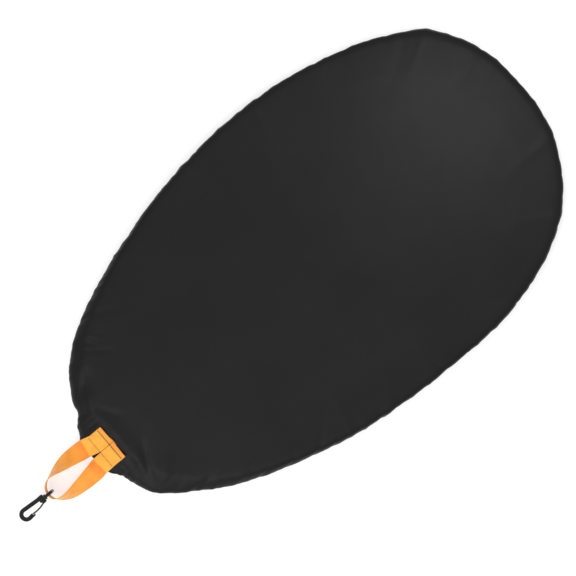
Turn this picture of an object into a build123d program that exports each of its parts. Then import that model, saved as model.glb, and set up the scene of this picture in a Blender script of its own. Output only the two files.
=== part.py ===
"""Kayak cockpit cover: a stretched nylon deck with a bungee hem, a sewn webbing pull loop and a swivel snap hook.

Frame: millimetres, +Z is the outer (weather) side, +Y runs from the pull loop to the wide end, and Z = 0 is
the plane on which the hem rests. The origin is the middle of the opening that grips the cockpit coaming.
"""

from build123d import *
import math
import os

# ---------------------------------------------------------------- driving dimensions

# Plan outline of the stretched cover: two half superellipses that meet at the widest station.
HALF_WIDTH = 257.0
WIDEST_Y = 62.0
WIDE_END_Y = 420.0
NOSE_Y = -461.0
WIDE_POWER = 2.3
NOSE_POWER = 2.15
OUTLINE_POINTS = 24

# Section of the rim: (inset from the outline, setback of the nose, height), from the hem up to the crown.
RIM_PROFILE = (
    (18.0, 3.0, 11.3),
    (11.0, 2.0, 11.9),
    (5.0, 2.2, 13.8),
    (1.2, 4.0, 17.2),
    (0.0, 7.5, 21.5),
    (0.2, 15.0, 26.0),
    (1.0, 24.0, 30.0),
    (3.2, 31.0, 33.2),
    (8.0, 36.5, 35.4),
    (17.0, 47.0, 36.8),
    (60.0, 98.0, 38.8),
    (120.0, 165.0, 40.6),
    (190.0, 240.0, 41.5),
)
FABRIC = 1.0

# Hem tunnel, its stitch line and the bungee inside it.
HEM_INSET = 24.0
HEM_SETBACK = 9.0
HEM_Z = 5.5
HEM_RADIUS = 5.5
HEM_WALL = 1.0
HEM_GAP = 32.0
THREAD_INSET = 19.3
THREAD_SETBACK = 4.3
THREAD_Z = 10.6
THREAD_RADIUS = 0.35
CORD_RADIUS = 2.0

# Cord tails, cord lock and cord ends, under the wide end.
TAIL_X = 2.05
TAIL_TURN_Y = 383.0
TAIL_SPREAD_Y = 326.0
TAIL_END = (8.0, 296.0)
TAIL_BEND = 8.0
END_CAP_RADIUS = 3.3
END_CAP_LENGTH = 14.0
END_CAP_GRIP = 7.0
LOCK_Y = 374.0
LOCK_RADIUS = 5.5
LOCK_MOUTH_X = 9.0
LOCK_FLOOR_X = -15.0
LOCK_BASE = 1.5
LOCK_BORE = 3.9
LOCK_FIT = 0.1
LOCK_SLOT = 4.4
LOCK_SLOT_HALF = 4.2
PRESS_TRAVEL = 3.5
PLUNGER_FOOT_X = -8.0
PLUNGER_CAP_X = 13.0
PLUNGER_CAP = 2.6
SPRING_RADIUS = 2.9
SPRING_WIRE = 0.3
SPRING_TURNS = 4.5

# Webbing pull loop.
WEB_WIDTH = 30.0
WEB_THICK = 1.6
WEB_GAP = 0.4
STRAP_X = 7.0
TAB_TILT = 25.0
TAB_LENGTH = 42.0
TAB_FOLD = 12.0
TAB_REST = (-442.9, 27.6)
HINGE_GAP = 1.6
LIMB_FLARE = (4.8, 1.8)
LOOP_Z = 20.0
LOOP_TIP_Y = -552.8
STITCH = (2.2, 0.5, 0.3)
STITCH_PITCH = 3.2
STITCHES_PER_ROW = 18
STITCH_ROWS = (7.0, 8.4, 26.5)

# Swivel snap hook.
HOOK_X = 4.5
BAR_Y = -546.5
BAR_RADIUS = 2.6
RING_INSIDE = 31.6
RING_ROD = 3.8
RING_PLATE = 5.2
RING_FLANGE = (4.5, 2.4)
RING_BASE_Y = -556.6
RING_END_Y = -560.2
POST_RADIUS = 2.5
POST_FIT = 0.08
POST_HEAD_RADIUS = 3.3
POST_HEAD = 2.0
HEAD_TOP_Y = -561.0
HEAD_END_Y = -570.4
HEAD_LEFT = 7.2
HEAD_RIGHT = 6.8
HEAD_THICK = 8.0
HOOK_THICK = 6.0
BEND_CENTRE = (2.0, -599.0)
BEND_INSIDE = 4.7
BEND_WIDTH = 6.4
NOSE_TIP = (9.2, -590.5)
BODY_CHAMFER = 0.8
GATE_PIVOT = (5.3, -567.6)
GATE_ROOT = 1.5
GATE_FIT = 0.08
GATE_THICK = 5.0
GATE_WIDTH = 2.4
GATE_TIP = (7.9, -590.2)
NOTCH_Y = -591.3
NOTCH_FIT = 0.5


# ---------------------------------------------------------------- shared geometry


def outline_point(angle, inset, setback):
    """A point on the cover's plan outline, moved in by inset and with its nose drawn back by setback."""
    cosine = math.cos(angle)
    sine = math.sin(angle)
    if sine >= 0:
        reach = WIDE_END_Y - inset - WIDEST_Y
        power = 2 / WIDE_POWER
    else:
        reach = WIDEST_Y - NOSE_Y - setback
        power = 2 / NOSE_POWER
    x = math.copysign(abs(cosine) ** power, cosine) * (HALF_WIDTH - inset)
    y = WIDEST_Y + math.copysign(abs(sine) ** power, sine) * reach
    return (x, y)


def closed_outline(inset, setback):
    """The points of a whole outline, anticlockwise."""
    angles = [2 * math.pi * step / OUTLINE_POINTS for step in range(OUTLINE_POINTS)]
    return [outline_point(angle, inset, setback) for angle in angles]


def open_outline(inset, setback, gap):
    """The points of an outline that is open by gap at the middle of the wide end."""
    ratio = gap / 2 / (HALF_WIDTH - inset)
    start = math.acos(ratio ** (WIDE_POWER / 2))
    sweep_angle = 2 * math.pi - 2 * (math.pi / 2 - start)
    first = math.pi - start
    steps = [first + sweep_angle * step / OUTLINE_POINTS for step in range(OUTLINE_POINTS + 1)]
    return [outline_point(angle, inset, setback) for angle in steps]


def inner_profile(profile, thickness):
    """The rim profile moved inwards, along its own normal, by the fabric's thickness."""
    moved = []
    for index, (inset, setback, height) in enumerate(profile):
        before = profile[max(index - 1, 0)]
        after = profile[min(index + 1, len(profile) - 1)]
        run = after[0] - before[0]
        rise = after[2] - before[2]
        length = math.hypot(run, rise)
        step_in = thickness * rise / length
        step_up = -thickness * run / length
        moved.append((inset + step_in, setback + step_in, height + step_up))
    return moved


# ---------------------------------------------------------------- cover


with BuildPart() as deck_panel:
    for profile, mode in (
        (RIM_PROFILE, Mode.ADD),
        (inner_profile(RIM_PROFILE, FABRIC), Mode.SUBTRACT),
    ):
        for inset, setback, height in profile:
            with BuildSketch(Plane.XY.offset(height)):
                with BuildLine():
                    Spline(*closed_outline(inset, setback), periodic=True)
                make_face()
        loft(ruled=True, mode=mode)
    lip_inset, lip_setback, lip_z = RIM_PROFILE[0]
    with BuildSketch(Plane.XY.offset(lip_z - FABRIC)):
        with BuildLine():
            Spline(*closed_outline(lip_inset + FABRIC, lip_setback + FABRIC), periodic=True)
        make_face()
    extrude(amount=3 * FABRIC, mode=Mode.SUBTRACT)

with BuildPart() as hem_casing:
    with BuildLine(Plane.XY.offset(HEM_Z)) as hem_path:
        Spline(*open_outline(HEM_INSET, HEM_SETBACK, HEM_GAP))
    with BuildSketch(Plane(origin=hem_path.line @ 0, z_dir=hem_path.line % 0)):
        Circle(HEM_RADIUS)
        Circle(HEM_RADIUS - HEM_WALL, mode=Mode.SUBTRACT)
    sweep(path=hem_path.line)

with BuildPart() as hem_stitching:
    with BuildLine(Plane.XY.offset(THREAD_Z)) as thread_path:
        Spline(*open_outline(THREAD_INSET, THREAD_SETBACK, HEM_GAP))
    with BuildSketch(Plane(origin=thread_path.line @ 0, z_dir=thread_path.line % 0)):
        Circle(THREAD_RADIUS)
    sweep(path=thread_path.line)


# ---------------------------------------------------------------- bungee and cord lock

tail_end_x, tail_end_y = TAIL_END
tail_grip_y = tail_end_y + END_CAP_GRIP + 1

with BuildPart() as bungee_cord:
    with BuildLine(Plane.XY.offset(HEM_Z)) as cord_path:
        ring = Spline(*open_outline(HEM_INSET, HEM_SETBACK, HEM_GAP))
        for side, hem_end, heading in ((-1, ring @ 0, ring % 0), (1, ring @ 1, ring % 1 * -1)):
            Bezier(
                (hem_end.X, hem_end.Y),
                (hem_end.X - TAIL_BEND * heading.X, hem_end.Y - TAIL_BEND * heading.Y),
                (side * TAIL_X, TAIL_TURN_Y + TAIL_BEND),
                (side * TAIL_X, TAIL_TURN_Y),
            )
            Line((side * TAIL_X, TAIL_TURN_Y), (side * TAIL_X, TAIL_SPREAD_Y))
            Bezier(
                (side * TAIL_X, TAIL_SPREAD_Y),
                (side * TAIL_X, TAIL_SPREAD_Y - TAIL_BEND),
                (side * tail_end_x, tail_grip_y + TAIL_BEND),
                (side * tail_end_x, tail_grip_y),
            )
            Line((side * tail_end_x, tail_grip_y), (side * tail_end_x, tail_end_y))
    with BuildSketch(Plane(origin=(-tail_end_x, tail_end_y, HEM_Z), z_dir=(0, 1, 0))):
        Circle(CORD_RADIUS)
    sweep(path=cord_path.wires()[0])

# One moulded cap is pushed over each tail, with a rounded foot.
with BuildPart() as cord_end_caps:
    cap_mouth = Plane(origin=(0, tail_end_y + END_CAP_GRIP, HEM_Z), x_dir=(1, 0, 0), z_dir=(0, -1, 0))
    with BuildSketch(cap_mouth):
        with Locations((-tail_end_x, 0), (tail_end_x, 0)):
            Circle(END_CAP_RADIUS)
    extrude(amount=END_CAP_LENGTH)
    fillet(cord_end_caps.faces().sort_by(Axis.Y)[:2].edges(), radius=1.6)
    with BuildSketch(cap_mouth):
        with Locations((-tail_end_x, 0), (tail_end_x, 0)):
            Circle(CORD_RADIUS + 0.3)
    extrude(amount=END_CAP_GRIP + 0.05, mode=Mode.SUBTRACT)

lock_axis = Plane(origin=(0, LOCK_Y, HEM_Z), x_dir=(0, 1, 0), z_dir=(1, 0, 0))
# The two cords lie side by side in one slot, which runs along Y through barrel and plunger.
slot_plane = Plane(origin=(0, LOCK_Y, HEM_Z), x_dir=(1, 0, 0), z_dir=(0, 1, 0))

with BuildPart() as cord_lock_barrel:
    with BuildSketch(lock_axis.offset(LOCK_FLOOR_X - LOCK_BASE)):
        Circle(LOCK_RADIUS)
    extrude(amount=LOCK_MOUTH_X - LOCK_FLOOR_X + LOCK_BASE)
    fillet(cord_lock_barrel.faces().sort_by(Axis.X)[0].edges(), radius=1.2)
    chamfer(cord_lock_barrel.faces().sort_by(Axis.X)[-1].edges(), length=0.4)
    with BuildSketch(lock_axis.offset(LOCK_FLOOR_X)):
        Circle(LOCK_BORE)
    extrude(amount=LOCK_MOUTH_X - LOCK_FLOOR_X, mode=Mode.SUBTRACT)
    with BuildSketch(slot_plane.offset(-LOCK_RADIUS)):
        SlotOverall(2 * LOCK_SLOT_HALF, LOCK_SLOT)
    extrude(amount=2 * LOCK_RADIUS, mode=Mode.SUBTRACT)

with BuildPart() as cord_lock_plunger:
    with BuildSketch(lock_axis.offset(PLUNGER_FOOT_X)):
        Circle(LOCK_BORE - LOCK_FIT)
    extrude(amount=PLUNGER_CAP_X - PLUNGER_FOOT_X)
    with BuildSketch(lock_axis.offset(PLUNGER_CAP_X)):
        Circle(LOCK_RADIUS)
    extrude(amount=PLUNGER_CAP)
    fillet(cord_lock_plunger.faces().sort_by(Axis.X)[-1].edges(), radius=1.2)
    with BuildSketch(slot_plane.offset(-LOCK_RADIUS)):
        with Locations((PRESS_TRAVEL / 2, 0)):
            SlotOverall(2 * LOCK_SLOT_HALF + PRESS_TRAVEL, LOCK_SLOT)
    extrude(amount=2 * LOCK_RADIUS, mode=Mode.SUBTRACT)

with BuildPart() as cord_lock_spring:
    coil_length = PLUNGER_FOOT_X - LOCK_FLOOR_X - 4 * SPRING_WIRE
    with BuildLine() as coil:
        Helix(
            pitch=coil_length / SPRING_TURNS,
            height=coil_length,
            radius=SPRING_RADIUS,
            center=(LOCK_FLOOR_X + 2 * SPRING_WIRE, LOCK_Y, HEM_Z),
            direction=(1, 0, 0),
        )
    with BuildSketch(Plane(origin=coil.line @ 0, z_dir=coil.line % 0)):
        Circle(SPRING_WIRE)
    sweep(path=coil.line, is_frenet=True)


# ---------------------------------------------------------------- webbing pull loop

tilt = math.radians(TAB_TILT)
rest_y, rest_z = TAB_REST
hinge_y = rest_y - TAB_LENGTH / 2 * math.cos(tilt)
hinge_z = rest_z - TAB_LENGTH / 2 * math.sin(tilt)
# The tab plane's local Y runs up the slope of the nose, away from the hinge line.
tab_plane = Plane(
    origin=(STRAP_X, hinge_y, hinge_z),
    x_dir=(1, 0, 0),
    z_dir=(0, -math.sin(tilt), math.cos(tilt)),
)
limb_x = (WEB_WIDTH + WEB_GAP) / 2
fold_height = 2 * WEB_THICK + 0.2

# Each sewn end is folded under itself, so its side profile is a hook with a round nose.
with BuildPart() as strap_tab:
    side_plane = Plane(
        origin=tab_plane.from_local_coords((-WEB_WIDTH - WEB_GAP / 2, 0, 0)),
        x_dir=tab_plane.y_dir,
        z_dir=tab_plane.x_dir,
    )
    with BuildSketch(side_plane):
        fold_end = TAB_LENGTH - fold_height / 2
        with BuildLine():
            Polyline(
                (fold_end, fold_height),
                (HINGE_GAP + 0.4, fold_height),
                (HINGE_GAP + 0.4, fold_height - WEB_THICK),
                (fold_end, fold_height - WEB_THICK),
                (fold_end, WEB_THICK),
                (TAB_LENGTH - TAB_FOLD, WEB_THICK),
                (TAB_LENGTH - TAB_FOLD, 0),
                (fold_end, 0),
            )
            ThreePointArc((fold_end, 0), (TAB_LENGTH, fold_height / 2), (fold_end, fold_height))
        make_face()
    extrude(amount=WEB_WIDTH)
    mirror(about=Plane.YZ.offset(STRAP_X))

with BuildPart() as strap_stitching:
    stitch_length, stitch_width, stitch_height = STITCH
    for row in STITCH_ROWS:
        with BuildSketch(tab_plane.offset(fold_height + 0.02)):
            with Locations((0, TAB_LENGTH - row)):
                with GridLocations(STITCH_PITCH, 1, STITCHES_PER_ROW, 1):
                    Rectangle(stitch_length, stitch_width)
        extrude(amount=stitch_height)

# The free loop: centre line in plan, then height and twist as smooth steps towards the hook.
loop_start = (STRAP_X - limb_x - LIMB_FLARE[0], hinge_y - HINGE_GAP)
loop_finish = (STRAP_X + limb_x + LIMB_FLARE[1], hinge_y - HINGE_GAP)
loop_top_z = tab_plane.from_local_coords((0, -HINGE_GAP, fold_height - WEB_THICK / 2)).Z
LOOP_STATIONS = 40

with BuildLine() as loop_path:
    Spline(
        loop_start,
        (-16.5, -500.0),
        (-14.5, -533.0),
        (HOOK_X, LOOP_TIP_Y),
        (24.5, -537.0),
        (27.0, -505.0),
        loop_finish,
        tangents=((0, -1), (0, 1)),
    )


def smooth_step(value):
    """0 below 0, 1 above 1 and a smooth rise between."""
    clamped = min(max(value, 0.0), 1.0)
    return clamped * clamped * (3 - 2 * clamped)


def loop_plane(station):
    """The webbing's cross-section plane at a station from 0 (left end) to 1 (right end) of the loop."""
    point = loop_path.line @ station
    heading = loop_path.line % station
    share = smooth_step((hinge_y - HINGE_GAP - point.Y) / (hinge_y - LOOP_TIP_Y - 16))
    twist = math.pi / 2 * share
    height = loop_top_z + (LOOP_Z - loop_top_z) * share
    across = Vector(0, 0, 1).cross(heading).normalized()
    width_direction = across * math.cos(twist) + Vector(0, 0, math.sin(twist))
    return Plane(origin=(point.X, point.Y, height), x_dir=width_direction, z_dir=heading)


with BuildPart() as strap_loop:
    for index in range(LOOP_STATIONS + 1):
        with BuildSketch(loop_plane(index / LOOP_STATIONS)):
            Rectangle(WEB_WIDTH, WEB_THICK)
    loft(ruled=True)


# ---------------------------------------------------------------- swivel snap hook

hook_plane = Plane(origin=(HOOK_X, 0, LOOP_Z))
ring_plane = Plane(origin=(HOOK_X, 0, LOOP_Z), x_dir=(0, 1, 0), z_dir=(1, 0, 0))
ring_height = RING_INSIDE + 2 * RING_ROD

with BuildPart() as swivel_eye:
    # A D-shaped ring in the upright plane: two rods and a base join the round bar.
    with BuildSketch(ring_plane.offset(-RING_PLATE / 2)):
        with Locations(((BAR_Y + RING_END_Y) / 2, 0)):
            Rectangle(BAR_Y - RING_END_Y, ring_height)
        with Locations(((BAR_Y + RING_BASE_Y) / 2, 0)):
            Rectangle(BAR_Y - RING_BASE_Y, RING_INSIDE, mode=Mode.SUBTRACT)
    extrude(amount=RING_PLATE)
    outer_corners = swivel_eye.edges().filter_by(Axis.X).group_by(Axis.Y)[0]
    fillet(outer_corners, radius=7.0)
    with BuildSketch(Plane(origin=(HOOK_X, BAR_Y, LOOP_Z - ring_height / 2))):
        Circle(BAR_RADIUS)
    extrude(amount=ring_height)
    # A round flange faces the hook's head.
    flange_radius, flange_thick = RING_FLANGE
    flange_y = RING_END_Y + flange_thick
    with BuildSketch(Plane(origin=(HOOK_X, flange_y, LOOP_Z), x_dir=(1, 0, 0), z_dir=(0, -1, 0))):
        Circle(flange_radius)
    extrude(amount=flange_thick)
    post_plane = Plane(origin=(HOOK_X, RING_BASE_Y - 1, LOOP_Z), x_dir=(1, 0, 0), z_dir=(0, -1, 0))
    with BuildSketch(post_plane):
        Circle(POST_RADIUS)
    extrude(amount=RING_BASE_Y - HEAD_END_Y - 1.5)
    with BuildSketch(post_plane.offset(RING_BASE_Y - HEAD_END_Y - 1.1 - POST_HEAD)):
        Circle(POST_HEAD_RADIUS)
    extrude(amount=POST_HEAD)
    fillet(swivel_eye.faces().sort_by(Axis.Y)[0].edges(), radius=0.5)

bend_radius = BEND_INSIDE + BEND_WIDTH / 2
pivot_x, pivot_y = GATE_PIVOT
tip_x, tip_y = NOSE_TIP
gate_tip_x, gate_tip_y = GATE_TIP

with BuildPart() as hook_body:
    with BuildSketch(hook_plane.offset(-HOOK_THICK / 2)):
        with BuildLine():
            bend = CenterArc(BEND_CENTRE, bend_radius, 170, 190)
            Line((-3.4, HEAD_END_Y + 3), bend @ 0)
            Line(bend @ 1, NOSE_TIP)
        trace(line_width=BEND_WIDTH + 0.2)
        # Cutting the throat as a full circle leaves a true round wall in the bend.
        with Locations(BEND_CENTRE):
            Circle(BEND_INSIDE, mode=Mode.SUBTRACT)
    extrude(amount=HOOK_THICK)
    with BuildSketch(hook_plane.offset(-HOOK_THICK / 2)):
        with Locations((tip_x + 0.3, tip_y + 0.4)):
            RectangleRounded(BEND_WIDTH - 0.6, 4.0, 1.2)
    extrude(amount=HOOK_THICK)
    chamfer(hook_body.faces().sort_by(Axis.Z)[-1].edges(), length=BODY_CHAMFER)
    chamfer(hook_body.faces().sort_by(Axis.Z)[0].edges(), length=BODY_CHAMFER)
    # The notch that the gate's tip closes into, open towards the throat.
    with BuildSketch(hook_plane.offset(-HOOK_THICK / 2)):
        with Locations((gate_tip_x + GATE_WIDTH / 2 + NOTCH_FIT, NOTCH_Y)):
            Rectangle(6, 10, align=(Align.MAX, Align.MIN))
    extrude(amount=HOOK_THICK, mode=Mode.SUBTRACT)
    # The head is a thicker block, bored for the swivel post.
    with BuildSketch(hook_plane.offset(-HEAD_THICK / 2)):
        with Locations(((HEAD_RIGHT - HEAD_LEFT) / 2, (HEAD_TOP_Y + HEAD_END_Y) / 2)):
            RectangleRounded(HEAD_LEFT + HEAD_RIGHT, HEAD_TOP_Y - HEAD_END_Y, 1.8)
    extrude(amount=HEAD_THICK)
    chamfer(hook_body.faces().sort_by(Axis.Z)[-1].edges(), length=0.7)
    chamfer(hook_body.faces().sort_by(Axis.Z)[0].edges(), length=0.7)
    with BuildSketch(Plane(origin=(HOOK_X, HEAD_TOP_Y, LOOP_Z), x_dir=(1, 0, 0), z_dir=(0, -1, 0))):
        Circle(POST_RADIUS + POST_FIT)
    extrude(amount=HEAD_TOP_Y - HEAD_END_Y, mode=Mode.SUBTRACT)
    # A counterbore takes the swivel post's head, so nothing stands in the hook's throat.
    with BuildSketch(Plane(origin=(HOOK_X, HEAD_END_Y, LOOP_Z), x_dir=(1, 0, 0), z_dir=(0, 1, 0))):
        Circle(POST_HEAD_RADIUS + POST_FIT)
    extrude(amount=POST_HEAD + 0.2, mode=Mode.SUBTRACT)
    # The gate's root turns in a round seat that is open towards the gate.
    with BuildSketch(hook_plane.offset(-HEAD_THICK / 2)):
        with Locations(GATE_PIVOT):
            Circle(GATE_ROOT + GATE_FIT)
        with BuildLine():
            Polyline(
                (pivot_x - 1.4, pivot_y),
                (pivot_x + 1.5, pivot_y),
                (pivot_x + 3.1, pivot_y - 4),
                (pivot_x - 2.4, pivot_y - 4),
                close=True,
            )
        make_face()
    extrude(amount=HEAD_THICK, mode=Mode.SUBTRACT)

with BuildPart() as hook_gate:
    with BuildSketch(hook_plane.offset(-GATE_THICK / 2)):
        with BuildLine():
            Spline(
                (pivot_x + 0.2, pivot_y),
                (pivot_x + 2.2, pivot_y - 7.4),
                (pivot_x + 3.0, pivot_y - 14.0),
                GATE_TIP,
            )
        trace(line_width=GATE_WIDTH)
    extrude(amount=GATE_THICK)
    with BuildSketch(hook_plane.offset(-GATE_THICK / 2)):
        with Locations(GATE_PIVOT):
            Circle(GATE_ROOT)
    extrude(amount=GATE_THICK)


# ---------------------------------------------------------------- export

NODES = {
    "deck_panel": deck_panel,
    "hem_casing": hem_casing,
    "hem_stitching": hem_stitching,
    "bungee_cord": bungee_cord,
    "cord_end_caps": cord_end_caps,
    "cord_lock_barrel": cord_lock_barrel,
    "cord_lock_plunger": cord_lock_plunger,
    "cord_lock_spring": cord_lock_spring,
    "strap_tab": strap_tab,
    "strap_stitching": strap_stitching,
    "strap_loop": strap_loop,
    "swivel_eye": swivel_eye,
    "hook_body": hook_body,
    "hook_gate": hook_gate,
}

os.makedirs("parts", exist_ok=True)
for name, builder in NODES.items():
    builder.part.label = name
    export_step(builder.part, f"parts/{name}.step")
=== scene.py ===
"""Looks for the kayak cockpit cover: coated nylon deck, gathered bungee hem, webbing pull loop, snap hook.

Lengths are in millimetres, in the CAD frame, and become metres when a mesh is made. The lights and the
camera are placed in metres.
"""

import math

import bpy
import numpy as np
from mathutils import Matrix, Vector


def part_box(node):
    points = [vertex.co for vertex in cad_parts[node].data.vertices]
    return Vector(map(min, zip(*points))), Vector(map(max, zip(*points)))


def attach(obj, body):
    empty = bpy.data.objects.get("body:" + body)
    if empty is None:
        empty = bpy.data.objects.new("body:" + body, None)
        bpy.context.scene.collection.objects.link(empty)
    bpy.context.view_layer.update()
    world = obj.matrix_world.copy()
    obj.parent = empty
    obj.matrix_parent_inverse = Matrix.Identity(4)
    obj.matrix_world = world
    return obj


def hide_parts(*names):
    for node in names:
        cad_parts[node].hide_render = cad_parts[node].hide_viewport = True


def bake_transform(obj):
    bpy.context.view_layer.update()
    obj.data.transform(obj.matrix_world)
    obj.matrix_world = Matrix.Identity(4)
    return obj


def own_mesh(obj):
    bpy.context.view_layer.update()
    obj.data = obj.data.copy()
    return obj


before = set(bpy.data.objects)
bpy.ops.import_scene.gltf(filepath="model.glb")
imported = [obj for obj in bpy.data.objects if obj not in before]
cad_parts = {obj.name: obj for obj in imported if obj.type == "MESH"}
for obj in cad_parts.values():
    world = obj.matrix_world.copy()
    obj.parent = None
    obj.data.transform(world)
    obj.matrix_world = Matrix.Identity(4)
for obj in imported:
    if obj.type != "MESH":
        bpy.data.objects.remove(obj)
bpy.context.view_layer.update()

MM = 0.001
FULL_TURN = 2 * math.pi
SEED = 41


# ---------------------------------------------------------------- objects


def add_to_scene(name, data):
    """A new object that shows a mesh, a light or a camera."""
    obj = bpy.data.objects.new(name, data)
    bpy.context.scene.collection.objects.link(obj)
    return obj


def shade_smooth(mesh):
    mesh.polygons.foreach_set("use_smooth", [True] * len(mesh.polygons))


def make_object(name, points, faces, material, uv=None):
    """A mesh object from points in millimetres; uv is one (u, v) for each face corner."""
    mesh = bpy.data.meshes.new(name)
    mesh.from_pydata((np.asarray(points, float) * MM).tolist(), [], faces)
    mesh.validate()
    if uv is not None:
        layer = mesh.uv_layers.new(name="UVMap")
        layer.data.foreach_set("uv", np.asarray(uv, np.float32).ravel())
    mesh.materials.append(material)
    shade_smooth(mesh)
    mesh.update()
    return add_to_scene(name, mesh)


def dress(obj, body, slot, *nodes):
    """Rides a piece on its body in place of CAD nodes. Its slot is not used."""
    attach(obj, body)
    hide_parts(*nodes)


def thicken(obj, thickness_mm, offset):
    """Makes a sheet as thick as its cloth: behind its surface with offset -1, in front with offset 1."""
    solid = obj.modifiers.new("thickness", "SOLIDIFY")
    solid.thickness = thickness_mm * MM
    solid.offset = offset
    solid.use_even_offset = False
    graph = bpy.context.evaluated_depsgraph_get()
    mesh = bpy.data.meshes.new_from_object(obj.evaluated_get(graph))
    obj.modifiers.clear()
    obj.data = mesh
    shade_smooth(mesh)


# ---------------------------------------------------------------- curves and noise

CURVE_SAMPLES = 24  # between two rows of a smooth curve


def unit(vectors):
    """A vector, or vectors one to a row, scaled to length one."""
    return vectors / np.linalg.norm(vectors, axis=-1, keepdims=True)


def distance_along(path):
    """Distance from a path's first point to each of its points."""
    return np.concatenate([[0], np.cumsum(np.linalg.norm(np.diff(path, axis=0), axis=1))])


def smooth_step(value):
    """0 below 0, 1 above 1 and a smooth rise between."""
    t = np.clip(value, 0, 1)
    return t * t * (3 - 2 * t)


def fade_out(value, start, width):
    """1 up to start, then a smooth fall to 0 over the width."""
    return 1 - smooth_step((value - start) / width)


def smooth_curve(rows, count):
    """Catmull-Rom through rows, sampled at count points evenly spaced along the curve."""
    rows = np.asarray(rows, float)
    padded = np.vstack([2 * rows[0] - rows[1], rows, 2 * rows[-1] - rows[-2]])
    t = np.linspace(0, 1, CURVE_SAMPLES, endpoint=False)[:, None]
    dense = []
    for k in range(len(rows) - 1):
        p0, p1, p2, p3 = padded[k : k + 4]
        linear = (p2 - p0) * t
        square = (2 * p0 - 5 * p1 + 4 * p2 - p3) * t**2
        cubic = (3 * p1 - p0 - 3 * p2 + p3) * t**3
        dense.append(0.5 * (2 * p1 + linear + square + cubic))
    dense = np.vstack(dense + [rows[-1:]])
    along = distance_along(dense)
    wanted = np.linspace(0, along[-1], count)
    return np.stack([np.interp(wanted, along, column) for column in dense.T], 1)


def bezier(corners, count):
    """Points on the cubic curve with these four corners."""
    p0, p1, p2, p3 = np.asarray(corners, float)
    t = np.linspace(0, 1, count)[:, None]
    return (1 - t) ** 3 * p0 + 3 * (1 - t) ** 2 * t * p1 + 3 * (1 - t) * t**2 * p2 + t**3 * p3


def line_distance(x, y, line):
    """Signed distance from points to a polyline, plus on its left, and their share of the way along it."""
    line = np.asarray(line, float)
    best = np.full(np.shape(x), np.inf)
    share = np.zeros(np.shape(x))
    side = np.ones(np.shape(x))
    lengths = np.linalg.norm(np.diff(line, axis=0), axis=1)
    total = lengths.sum()
    before = 0.0
    for a, b, length in zip(line[:-1], line[1:], lengths):
        step_x, step_y = b - a
        t = np.clip(((x - a[0]) * step_x + (y - a[1]) * step_y) / length**2, 0, 1)
        gap = np.hypot(x - a[0] - t * step_x, y - a[1] - t * step_y)
        turn = step_x * (y - a[1]) - step_y * (x - a[0])
        nearer = gap < best
        side = np.where(nearer, np.where(turn >= 0, 1.0, -1.0), side)
        best = np.where(nearer, gap, best)
        share = np.where(nearer, (before + t * length) / total, share)
        before += length
    return best * side, share


def wobble(length, spacing, seed):
    """Smooth periodic noise between -1 and 1, as a function of the distance along a loop of that length."""
    rng = np.random.default_rng(seed)
    count = max(4, int(round(length / spacing)))
    knots = rng.uniform(-1, 1, count)

    def value(s):
        at = (np.asarray(s) / length * count) % count
        low = np.floor(at).astype(int) % count
        weight = smooth_step(at - np.floor(at))
        return knots[low] * (1 - weight) + knots[(low + 1) % count] * weight

    return value


# ---------------------------------------------------------------- materials


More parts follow.
